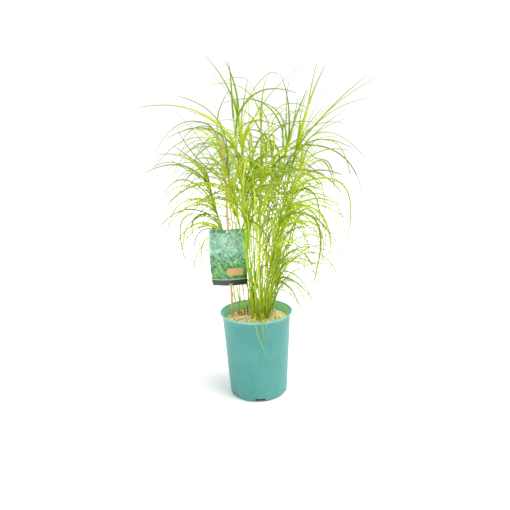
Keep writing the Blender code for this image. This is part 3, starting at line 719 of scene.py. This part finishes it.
# Many blades at once, along lines of points. s is the share of a line's length. The line is swayed sideways
# by sway * sin(2 pi s) * s. The section is a shallow V of eight points, flatter towards the tip and turned by
# twist * (0.6 + 0.4 s). Its width is (1 - 0.85 s^1.5) of the full width, narrowed where the blade clasps the
# stem.
def bladeShapes(lines, width, sway, twist):
    count, stations = lines.shape[:2]
    steps = np.linalg.norm(np.diff(lines, axis=1), axis=-1)
    share = np.concatenate((np.zeros((count, 1)), np.cumsum(steps, 1)), 1)
    share = share / share[:, -1:]
    s = share[..., None]
    reach = (lines[:, -1] - lines[:, 0])[:, None, :2]
    level = np.concatenate((-reach[..., 1:], reach[..., :1], np.zeros_like(reach[..., :1])), -1)
    level = level / (np.linalg.norm(level, axis=-1, keepdims=True) + 1e-9)
    lines = lines + level * (sway[:, None, None] * np.sin(2 * math.pi * s) * s)
    along = unit(np.gradient(lines, axis=1))
    side = unit(level - (level * along).sum(-1, keepdims=True) * along)
    upper = np.cross(along, side)
    turn = twist[:, None, None] * (0.6 + 0.4 * s)
    side, upper = np.cos(turn) * side + np.sin(turn) * upper, np.cos(turn) * upper - np.sin(turn) * side
    clasp = 0.5 + 0.5 * np.clip(share / 0.14, 0, 1)
    wide = width[:, None] * (1 - 0.85 * share ** 1.5) * clasp
    fold = 0.24 - 0.14 * share
    u = np.array((-1, -0.5, 0, 0.5, 1, 0.5, 0, -0.5))
    layer = np.array((0, -0.8, -1.5, -0.8, 0, 0.8, 1.0, 0.8))
    sideways = 0.5 * wide[..., None] * u
    upwards = (wide * fold)[..., None] * (np.abs(u) - 0.667) + sedge["thickness"] * layer * (1 - 0.6 * s)
    points = lines[:, :, None] + sideways[..., None] * side[:, :, None]
    points = points + upwards[..., None] * upper[:, :, None]
    rings = stations - 1
    points = points[:, :rings].reshape(count, rings * 8, 3)
    points = np.concatenate((points, lines[:, :1], lines[:, -1:]), 1)
    each = np.arange(count)[:, None, None] * (rings * 8 + 2)
    faces = []
    for part in (gridFaces(rings, 8, wrap=True), fanFaces(np.arange(8), rings * 8, flip=True),
                 fanFaces(np.arange(rings * 8 - 8, rings * 8), rings * 8 + 1)):
        faces += (part + each).reshape(-1, part.shape[1]).tolist()
    across = np.hstack((np.tile((u + 1) / 2, (count, rings)), np.full((count, 2), 0.5)))
    along = np.hstack((np.repeat(share[:, :rings], 8, axis=1), np.tile((0.0, 1.0), (count, 1))))
    return points.reshape(-1, 3), faces, np.stack((across, along), -1).reshape(-1, 2)


def makeLeafMaterial():
    material, tree, shader = newMaterial("sedgeLeaf", sedge["roughness"])
    place = splitPlace(tree, "UV")
    across, along = place["X"], place["Y"]
    veins = fibrous(tree, 26.0, 3.0, 2.2)
    blend = weigh(tree, mottled(tree, 24.0, 7.0, 1.2), 0.25, readTint(tree), 0.85)
    colour = addRamp(tree, blend, [(0.08, sedge["deep"]), (0.42, sedge["middle"]), (0.8, sedge["bright"]),
                                   (0.96, sedge["bright"]), (1.04, sedge["straw"])])
    colour = mixColours(tree, multiply(tree, veins, 0.25), colour, sedge["deep"])
    # The midrib is paler, and the blade fades towards its tip and yellows at its root
    fromMiddle = addMaths(tree, "ABSOLUTE", addMaths(tree, "SUBTRACT", across, 0.5))
    colour = mixColours(tree, mapRange(tree, fromMiddle, (0.0, 0.09), (0.5, 0.0)), colour, sedge["bright"])
    colour = mixColours(tree, mapRange(tree, along, (0.35, 1.0), (0.0, 0.9)), colour, sedge["faded"])
    colour = mixColours(tree, mapRange(tree, along, (0.0, 0.10), (0.4, 0.0)), colour, sedge["bright"])
    addFinish(tree, shader, colour, veins, 0.3, 0.0002)
    glow = addNode(tree, "ShaderNodeBsdfTranslucent", {"Color": colour})
    values = {"Fac": sedge["glow"], 1: shader.outputs["BSDF"], 2: glow.outputs["BSDF"]}
    both = addNode(tree, "ShaderNodeMixShader", values)
    tree.links.new(both.outputs["Shader"], tree.nodes["Material Output"].inputs["Surface"])
    return material


def makeStemMaterial():
    material, tree, shader = newMaterial("sedgeStem", 0.5)
    height = splitPlace(tree, "Object")["Z"]
    tint = readTint(tree)
    lines = fibrous(tree, 9.0, 25.0, 2.0)
    blend = weigh(tree, lines, 0.4, tint, 0.6)
    colour = addRamp(tree, blend, [(0.1, sedge["deep"]), (0.4, sedge["middle"]), (0.85, sedge["bright"])])
    # Old sheaths are straw and brown near the mix
    dry = multiply(tree, mapRange(tree, height, (0.19, 0.27), (0.7, 0.0)), tint)
    straw = addRamp(tree, lines, [(0.25, sedge["brown"]), (0.7, sedge["sheath"])])
    colour = mixColours(tree, dry, colour, straw)
    addFinish(tree, shader, colour, lines, 0.4, 0.0003)
    return material


# The stem's fine shape, along the axis of the solid. Each sheath swells it a little up to the leaf that it
# carries, and ends there in a step.
def stemShape(fits, axis, random):
    height = np.linspace(axis[0, 2], axis[-1, 2], sedge["stemRings"])
    share = (height - height[0]) / (height[-1] - height[0])
    radius = sedge["stemRadius"] + (sedge["stemTipRadius"] - sedge["stemRadius"]) * share
    starts = np.r_[mix["level"], axis[3:, 2]]
    below = np.searchsorted(starts, height, side="right").clip(1, len(starts) - 1)
    run = (height - starts[below - 1]) / np.maximum(starts[below] - starts[below - 1], 0.001)
    radius = radius + sedge["sheathSwell"] * np.clip(run, 0, 1)
    angle = np.arange(sedge["stemSides"]) * 2 * math.pi / sedge["stemSides"] + random.random() * 2
    threeSided = 1 + 0.12 * np.cos(3 * angle)
    return tubeShape(onStem(fits, height), radius[:, None] * threeSided, sedge["stemSides"])


# Extra thin leaves. Each is a smaller cousin of a leaf that the solid has: it starts a little up or down the
# stem, is turned about it, is shorter, and its tip hangs lower by the droop.
def cousinLeaves(leaves, fits, random):
    curves = np.repeat(leaves, cousins["perLeaf"], axis=0)
    count = len(curves)
    size = scatter(random, cousins["size"], count)
    turn = np.radians(random.choice((-1, 1), count) * scatter(random, cousins["turn"], count))
    height = curves[:, 0, 2] + cousins["shift"] * (random.random(count) - 0.7)
    height = np.minimum(height, leaves[-1, 0, 2])
    step = (curves - curves[:, :1]) * size[:, None, None]
    cos, sin = np.cos(turn)[:, None], np.sin(turn)[:, None]
    x = cos * step[..., 0] - sin * step[..., 1]
    y = sin * step[..., 0] + cos * step[..., 1]
    moved = np.stack((x, y, step[..., 2]), -1) + onStem(fits, height)[:, None]
    droop = cousins["droop"] * random.random(count)
    moved[:, 2, 2] -= 0.3 * droop
    moved[:, 3, 2] -= droop
    moved = clearLeaves(moved)
    high = moved[:, 3, 2] > cousins["openTop"]
    central = np.abs(moved[:, 3, 0] - cousins["openMiddle"]) < cousins["openReach"]
    return moved[~(high & central)]


# Leaves that spring from a start along a heading and arch outwards: first, second and tip stand up, up and
# out, and further out, by shares of the length. A loose leaf hangs its tip lower.
def archedLeaves(start, heading, azimuth, length, loose):
    outward = np.stack((np.cos(azimuth), np.sin(azimuth), np.zeros_like(azimuth)), -1)
    none = np.zeros_like(loose)
    rise = np.stack((none, none + 0.36, 0.72 - 0.12 * loose, 0.84 - 0.62 * loose), -1)
    out = np.stack((none, none + 0.06, 0.14 + 0.20 * loose, 0.34 + 0.42 * loose), -1)
    step = rise[..., None] * heading[:, None] + out[..., None] * outward[:, None]
    return start[:, None] + step * length[:, None, None]


# Keeps the leaves that stay inside the box of the solids, miss the wall of the pot and don't hide the tag
# from the front.
def clearLeaves(curves):
    line = cubicPoints(curves, np.linspace(0, 1, 16)[None, :, None])
    x, y, z = np.moveaxis(line, -1, 0)
    radius = np.hypot(x, y)
    onPot = (z < pot["height"] + 0.004) & (radius > innerRadius(mix["level"]) - 0.003)
    # Where a camera 1.2 m in front and a little above sees each point, nearly
    seenX, seenZ = x / (1 + y / 1.2), z + 0.25 * y
    (left, right), (bottom, top) = sedge["clearAcross"], sedge["clearUp"]
    onTag = (y < 0.03) & (seenX > left) & (seenX < right) & (seenZ > bottom) & (seenZ < top)
    outside = ((line < np.array(solidLow)) | (line > np.array(solidHigh))).any(-1)
    return curves[~(onPot | onTag | outside).any(1)]


# Blades along curves, each rolled to one side or the other by an angle from the range roll, in degrees.
def bladesAlong(curves, fits, random, narrow, stations, roll=(40, 90)):
    count = len(curves)
    headings = stemHeading(fits, curves[:, 0, 2]) if fits else np.tile((0.0, 0.0, 1.0), (count, 1))
    width = sedge["leafWidth"] * narrow * scatter(random, (0.8, 1.1), count)
    sway = scatter(random, (-0.005, 0.005), count)
    twist = np.radians(random.choice((-1, 1), count) * scatter(random, roll, count))
    lines = curveLines(curves, headings, stations)
    points, faces, uv = bladeShapes(lines, width, sway, twist)
    return points, faces, uv, np.repeat(random.random(count), len(points) // count), 0


# Leaves by the rule, from places scattered up a stem. Place is the share of the stem above the mix, and turn
# is the most that a leaf leaves the way the stem leans, in radians to either side.
def scatteredLeaves(fits, axis, random, values):
    count = values["count"]
    place, length, loose = (scatter(random, values[key], count) for key in ("place", "length", "loose"))
    height = mix["level"] + (axis[-1, 2] - mix["level"]) * place
    lean = axis[-1] - axis[0]
    azimuth = math.atan2(lean[1], lean[0]) + values["turn"] * (2 * random.random(count) - 1)
    return clearLeaves(archedLeaves(onStem(fits, height), stemHeading(fits, height), azimuth, length, loose))


def makeShoots(leafMaterial, stemMaterial):
    names = [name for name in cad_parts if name.startswith("shoot_")]
    total = 0
    for number, name in enumerate(names):
        random = np.random.default_rng(sedge["seed"] + number)
        axis, leaves = readShoot(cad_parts[name])
        total += len(leaves)
        fits = fitStem(axis)
        shapes, kinds = [], []
        if name == "shoot_front_low":
            leaves = leaves[leaves[:, 3, 2] > pot["height"]]
            arcs = np.array(hanging) * 0.001
            narrow, roll = sedge["hangingShare"], sedge["hangingRoll"]
            shapes.append(bladesAlong(arcs, None, random, narrow, sedge["stations"], roll))
        if name == "shoot_low_right":
            arcs = np.array(drooping) * 0.001
            arcs[:, 0] = onStem(fits, arcs[:, 0, 2])
            kinds.append((arcs, sedge["droopingShare"], sedge["stations"]))
        extra = cousinLeaves(leaves, fits, random)
        kinds.append((leaves, 1.0, sedge["stations"]))
        kinds.append((extra, cousins["narrow"], cousins["stations"]))
        for values in (lowLeaves, looseLeaves):
            if "shoots" in values and name.removeprefix("shoot_") not in values["shoots"]:
                continue
            curves = scatteredLeaves(fits, axis, random, values)
            kinds.append((curves, values["narrow"], values["stations"]))
        shapes.append((*stemShape(fits, axis, random), random.random(), 1))
        shapes += [bladesAlong(curves, fits, random, narrow, stations)
                   for curves, narrow, stations in kinds if len(curves)]
        piece = addPiece(name.replace("shoot_", "sedge_"), shapes, [leafMaterial, stemMaterial],
                         50)
        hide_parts(name)
    print("shoots made:", len(names), "with", total, "leaves read from the solids")


# Short leaves that fill the foot of the plant, thickest at its middle.
def makeTuft(leafMaterial):
    random = np.random.default_rng(tuft["seed"])
    count = tuft["count"]
    turn = random.random(count) * 2 * math.pi
    reach = np.sqrt(random.random(count))
    x = tuft["middle"][0] + tuft["reach"][0] * reach * np.cos(turn)
    y = tuft["middle"][1] + tuft["reach"][1] * reach * np.sin(turn)
    start = np.stack((x, y, mixHeight(x, y) - 0.002), -1)
    lean = tuft["lean"] * reach * random.random(count)
    heading = unit(np.stack((lean * np.cos(turn), lean * np.sin(turn), np.ones(count)), -1))
    length = scatter(random, tuft["length"], count)
    azimuth = turn + tuft["turn"] * (random.random(count) - 0.5)
    curves = clearLeaves(archedLeaves(start, heading, azimuth, length, random.random(count)))
    points, faces, uv, tint, number = bladesAlong(curves, None, random, tuft["narrow"], tuft["stations"])
    # Painted light: the tuft's tints are lifted towards the bright greens, against the shade in the pot and
    # the clump
    tint = tuft["paintedLightLowTint"] + tuft["paintedLightMoreTint"] * tint
    addPiece("basal_tuft", [(points, faces, uv, tint, number)], [leafMaterial], 50)
    print("tuft made:", len(curves), "leaves")


leafMaterial = makeLeafMaterial()
makeShoots(leafMaterial, makeStemMaterial())
makeTuft(leafMaterial)


# Cane
cane = {
    "radius": 0.003,
    "joints": (0.300, 0.445, 0.590),
    "foot": (-0.060, 0.018),
    "top": (-0.061, -0.015, 0.638),
    "colour": paint(222, 182, 140),
    "dark": paint(168, 118, 74),
    "pale": paint(226, 196, 156),
    "ring": paint(140, 96, 60),
}


# Point on the cane's straight axis at a height.
def canePoint(height):
    foot = mixHeight(*cane["foot"]) - mix["planted"]
    share = (np.asarray(height) - foot) / (cane["top"][2] - foot)
    x = cane["foot"][0] + (cane["top"][0] - cane["foot"][0]) * share
    y = cane["foot"][1] + (cane["top"][1] - cane["foot"][1]) * share
    return np.stack((x, y, np.asarray(height, float)), -1)


def makeCane():
    material, tree, shader = newMaterial("bamboo", 0.5)
    upwards = splitPlace(tree, "Object")["Z"]
    lines = fibrous(tree, 12.0, 30.0, 2.0)
    colour = addRamp(tree, lines, [(0.2, cane["dark"]), (0.7, cane["colour"])])
    colour = mixColours(tree, multiply(tree, mottled(tree, 30.0, 6.0, 1.5), 0.5), colour, cane["pale"])
    for joint in cane["joints"]:
        near = addMaths(tree, "ABSOLUTE", addMaths(tree, "SUBTRACT", upwards, joint))
        colour = mixColours(tree, mapRange(tree, near, (0.0, 0.003), (0.6, 0.0)), colour, cane["ring"])
    addFinish(tree, shader, colour, lines, 0.4, 0.0003)
    # The joints stand proud as a ridge with a groove above it
    bottom = mixHeight(*cane["foot"]) - mix["planted"]
    nearJoints = np.add.outer(cane["joints"], np.linspace(-0.006, 0.006, 17)).ravel()
    height = np.unique(np.r_[np.linspace(bottom, cane["top"][2], 80), nearJoints])
    radius = np.full(len(height), cane["radius"] * 0.98)
    for joint in cane["joints"]:
        radius += 0.00055 * np.exp(-((height - joint) / 0.0016) ** 2)
        radius -= 0.00030 * np.exp(-((height - joint - 0.0026) / 0.0008) ** 2)
    points, faces, uv = tubeShape(canePoint(height), radius, 20)
    piece = addPiece("bamboo_cane", [(points, faces, uv, 0.5, 0)], [material], 50)
    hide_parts("cane")


makeCane()


# Old stems cut off short
cutStems = {
    "sides": 14,
    "seed": 21,
    "rings": 16,
    "dark": paint(110, 84, 34),
    "outside": paint(150, 122, 50),
    "pale": paint(196, 176, 90),
    "inside": paint(214, 196, 130),
}


def makeCutStems():
    material, tree, shader = newMaterial("strawSheath", 0.8)
    lines = fibrous(tree, 8.0, 120.0, 2.4)
    stops = [(0.2, cutStems["dark"]), (0.55, cutStems["outside"]), (0.9, cutStems["pale"])]
    colour = addRamp(tree, lines, stops)
    colour = mixColours(tree, readTint(tree), colour, cutStems["inside"])
    addFinish(tree, shader, colour, lines, 0.5, 0.0004)
    random = np.random.default_rng(cutStems["seed"])
    sides, rings = cutStems["sides"], cutStems["rings"]
    for number in range(1, 5):
        low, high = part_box(f"cut_stem_{number}")
        middle = (low + high) / 2
        radius = (high.x - low.x) / 2
        share = np.linspace(0, 1, rings)
        height = low.z + (high.z - 0.001 - low.z) * share
        path = np.stack((np.full(rings, middle.x), np.full(rings, middle.y), height), -1)
        swell = radius * (0.92 - 0.10 * share + 0.05 * np.sin(9 * share + number))
        points, faces, uv = tubeShape(path, swell, sides)
        # The cut is torn, and the pith has sunk into it
        points[(rings - 1) * sides:rings * sides, 2] += 0.0014 * random.random(sides) - 0.0006
        points[-1, 2] -= 0.0022
        tint = np.zeros(len(points))
        tint[-1] = 1.0
        piece = addPiece(f"old_stem_{number}", [(points, faces, uv, tint, 0)], [material], 40)
        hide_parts(f"cut_stem_{number}")


makeCutStems()
print("cane and old stems made")

# Picture tag
tag = {
    "width": 0.086,
    "shift": -0.003,
    "height": 0.145,
    "bottom": 0.2755,
    "thickness": 0.0006,
    "slot": 0.0085,
    "slotLow": (0.0035, 0.0080),  # heights of the slots' edges
    "slotHigh": (0.1375, 0.1415),
    "swell": 0.05,
    "curl": 0.010,
    "bow": 0.007,
    "columns": 49,
    "rows": 146,
    "deep": paint(10, 76, 28),
    "dark": paint(24, 96, 40),
    "dim": paint(52, 146, 96),
    "leafy": paint(74, 172, 96),
    "fresh": paint(84, 190, 128),
    "light": paint(104, 206, 146),
    "pale": paint(176, 232, 186),
    "lilac": paint(178, 206, 206),
    "lowShade": paint(168, 186, 120),
    "middleShade": paint(206, 222, 176),
    "band": paint(40, 44, 42),
    "bandTop": 0.125,  # shares of the height
    "line": paint(150, 190, 150),
    "lineTop": 0.140,
    "patch": paint(196, 156, 92),
    "patchAcross": (0.45, 0.89),
    "patchUp": (0.205, 0.34),
    "back": (paint(196, 206, 200), paint(222, 228, 222)),
    # Lean in degrees, colour, strength and seed of each stroke layer
    "strokes": ((35, "leafy", 0.9, 1.0), (-40, "fresh", 0.85, 4.0), (75, "leafy", 0.9, 7.0),
                (-70, "light", 0.85, 9.0), (15, "pale", 0.8, 12.0), (55, "deep", 0.8, 14.0),
                (-20, "pale", 0.85, 19.0), (-55, "deep", 0.8, 23.0)),
}


# How far the sheet stands in front of the cane at a height up the tag: behind it at both margins, through the
# slots, and bowed forward between them.
def tagForward(up):
    behind = -(cane["radius"] + tag["thickness"] + 0.0008)
    front = cane["radius"] + tag["thickness"] + 0.0012
    (lowStart, lowEnd), (highStart, highEnd) = tag["slotLow"], tag["slotHigh"]
    through = np.clip((up - lowStart) / (lowEnd - lowStart), 0, 1)
    through = through * np.clip((highEnd - up) / (highEnd - highStart), 0, 1)
    through = through * through * (3 - 2 * through)
    bow = np.sin(math.pi * np.clip((up - lowEnd) / (highStart - lowEnd), 0, 1))
    return behind + (front - behind) * through + tag["bow"] * bow


# 1 where the value lies between low and high, else 0.
def between(tree, value, low, high):
    above = addMaths(tree, "GREATER_THAN", value, low)
    return multiply(tree, above, addMaths(tree, "LESS_THAN", value, high))


# The printed side: generic tufts of narrow leaves. Each stroke layer is stripes of stretched noise that lean
# one way, shown in patches of their own.
def makeTagMaterial():
    material, tree, shader = newMaterial("printedCard", 0.34, Coat_Weight=0.25)
    place = readPlace(tree, "UV")
    parts = splitPlace(tree, "UV")
    across, up = parts["X"], parts["Y"]
    colour = addRamp(tree, up, [(0.0, tag["deep"]), (0.4, tag["dark"]), (0.8, tag["dim"])])
    square = {"Vector": place, "Scale": (1.0, tag["height"] / tag["width"], 1.0)}
    flat = addNode(tree, "ShaderNodeMapping", square).outputs["Vector"]
    for turn, shade, amount, seed in tag["strokes"]:
        values = {"Vector": flat, "Rotation": (0, 0, math.radians(turn)), "Location": (seed, seed, 0)}
        lean = addNode(tree, "ShaderNodeMapping", values).outputs["Vector"]
        drawn = addNode(tree, "ShaderNodeMapping", {"Vector": lean, "Scale": (32.0, 2.8, 1.0)})
        blades = addNoise(tree, drawn.outputs["Vector"], 1.0, 1.0)
        tufts = addNoise(tree, lean, 5.0, 2.0)
        narrow = addRamp(tree, blades, [(0.50, grey(0)), (0.55, grey(1))])
        patches = addRamp(tree, tufts, [(0.42, grey(0)), (0.52, grey(1))])
        mask = multiply(tree, multiply(tree, narrow, patches), amount)
        colour = mixColours(tree, mask, colour, tag[shade])
    # Deeper green in the lower half, and paler, greyer leaves near the top
    shade = addRamp(tree, up, [(0.12, tag["lowShade"]), (0.42, tag["middleShade"]), (0.62, grey(1))])
    colour = mixColours(tree, 1.0, colour, shade, "MULTIPLY")
    haze = addRamp(tree, up, [(0.45, grey(0)), (0.72, grey(0.75)), (0.93, grey(0.6)), (1.0, grey(0.2))])
    veil = addNoise(tree, place, 14.0, 2.0)
    colour = mixColours(tree, multiply(tree, haze, veil), colour, tag["lilac"])
    # A plain blank patch low on the right, and a dark band along the foot with a thin pale line over it
    patch = multiply(tree, between(tree, across, *tag["patchAcross"]), between(tree, up, *tag["patchUp"]))
    colour = mixColours(tree, patch, colour, tag["patch"])
    colour = mixColours(tree, addMaths(tree, "LESS_THAN", up, tag["lineTop"]), colour, tag["line"])
    colour = mixColours(tree, addMaths(tree, "LESS_THAN", up, tag["bandTop"]), colour, tag["band"])
    addFinish(tree, shader, colour)
    return material


def makeTag():
    columns, rows = tag["columns"], tag["rows"]
    share = np.linspace(-1, 1, columns)
    half = tag["width"] / 2
    across = share * half
    up = np.linspace(0, tag["height"], rows)
    axis = canePoint(tag["bottom"] + up)
    swell = 1 + tag["swell"] * np.sin(math.pi * up / tag["height"])
    x = axis[:, 0, None] + tag["shift"] + across[None] * swell[:, None]
    y = axis[:, 1, None] - tagForward(up)[:, None] + tag["curl"] * share[None] ** 2
    z = np.broadcast_to(axis[:, 2, None], x.shape)
    points = np.stack((x, y, z), -1).reshape(-1, 3)
    faces = gridFaces(rows, columns)
    # The sheet is open at the two slots, round the cane
    middle = points[faces].mean(1)
    height = middle[:, 2] - tag["bottom"]
    caneX = canePoint(middle[:, 2])[:, 0]
    inSlot = (np.abs(middle[:, 0] - caneX) < tag["slot"] / 2)
    slots = (tag["slotLow"], tag["slotHigh"])
    inSlot &= np.any([(height > low) & (height < high) for low, high in slots], axis=0)
    faces = faces[~inSlot]
    uv = np.stack(np.meshgrid((share + 1) / 2, up / tag["height"], indexing="xy"), -1).reshape(-1, 2)
    back, tree, shader = newMaterial("cardBack", 0.4)
    speck = mottled(tree, 60.0, 5.0, 1.2)
    dull, bright = tag["back"]
    addFinish(tree, shader, addRamp(tree, speck, [(0.2, dull), (0.8, bright)]))
    shape = (points, faces.tolist(), uv, 0.5, 0)
    piece = addPiece("plant_tag", [shape], [makeTagMaterial(), back], 60)
    sheet = piece.modifiers.new("thickness", "SOLIDIFY")
    sheet.thickness = tag["thickness"]
    sheet.offset = 0.0
    sheet.material_offset = 1
    sheet.material_offset_rim = 1
    applyModifiers(piece)
    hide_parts("picture_tag")


makeTag()
print("tag made")


# Room: a white floor under an even white dome, and a soft sun from the upper right
room = {
    "floorSize": 12.0,
    "floorColour": paint(254, 254, 254),
    "domeStrength": 1.0,
    "backdropStrength": 1.1,
    "sunStrength": 2.8,
    "sunHeight": 70.0,  # degrees
    "sunTurn": -20.0,  # degrees, from the right towards the front
    "sunSize": 30.0,  # degrees
}
camera = {
    "place": (0.0, -1.205, 0.650),
    "lens": 36.0,
    "sensor": 36.0,
    "pitchDown": 13.73,  # degrees
    "yaw": -0.1,
    "roll": -2.1,
}


def makeRoom():
    half = room["floorSize"] / 2
    mesh = bpy.data.meshes.new("floor")
    corners = [(-half, -half, 0), (half, -half, 0), (half, half, 0), (-half, half, 0)]
    mesh.from_pydata(corners, [], [(0, 1, 2, 3)])
    floor = bpy.data.objects.new("floor", mesh)
    bpy.context.scene.collection.objects.link(floor)
    material, tree, shader = newMaterial("paleFloor", 0.9)
    shader.inputs["Base Color"].default_value = room["floorColour"]
    shader.inputs["Specular IOR Level"].default_value = 0.0
    mesh.materials.append(material)

    # The dome lights the plant a little less than it shows behind it
    world = bpy.data.worlds.new("dome")
    world.use_nodes = True
    tree = world.node_tree
    shown = tree.nodes["Background"]
    shown.inputs["Color"].default_value = (1, 1, 1, 1)
    seen = addNode(tree, "ShaderNodeLightPath").outputs["Is Camera Ray"]
    strength = mapRange(tree, seen, (0.0, 1.0), (room["domeStrength"], room["backdropStrength"]))
    tree.links.new(strength, shown.inputs["Strength"])
    bpy.context.scene.world = world
    light = bpy.data.lights.new("sun", "SUN")
    light.energy = room["sunStrength"]
    light.angle = math.radians(room["sunSize"])
    lamp = bpy.data.objects.new("sun", light)
    height, turn = math.radians(room["sunHeight"]), math.radians(room["sunTurn"])
    towards = Vector((math.cos(height) * math.cos(turn), math.cos(height) * math.sin(turn), math.sin(height)))
    lamp.rotation_euler = towards.to_track_quat("Z", "Y").to_euler()
    bpy.context.scene.collection.objects.link(lamp)
    bpy.context.scene.view_settings.view_transform = "Standard"


def makeCamera():
    data = bpy.data.cameras.new("camera")
    data.lens = camera["lens"]
    data.sensor_width = camera["sensor"]
    data.dof.use_dof = False
    view = bpy.data.objects.new("camera", data)
    turn = Matrix.Rotation(math.radians(camera["yaw"]), 4, "Z")
    tilt = Matrix.Rotation(math.radians(90 - camera["pitchDown"]), 4, "X")
    roll = Matrix.Rotation(math.radians(camera["roll"]), 4, "Z")
    view.matrix_world = Matrix.Translation(camera["place"]) @ turn @ tilt @ roll
    bpy.context.scene.collection.objects.link(view)
    bpy.context.scene.camera = view


makeRoom()
makeCamera()
print("room, lights and camera made")
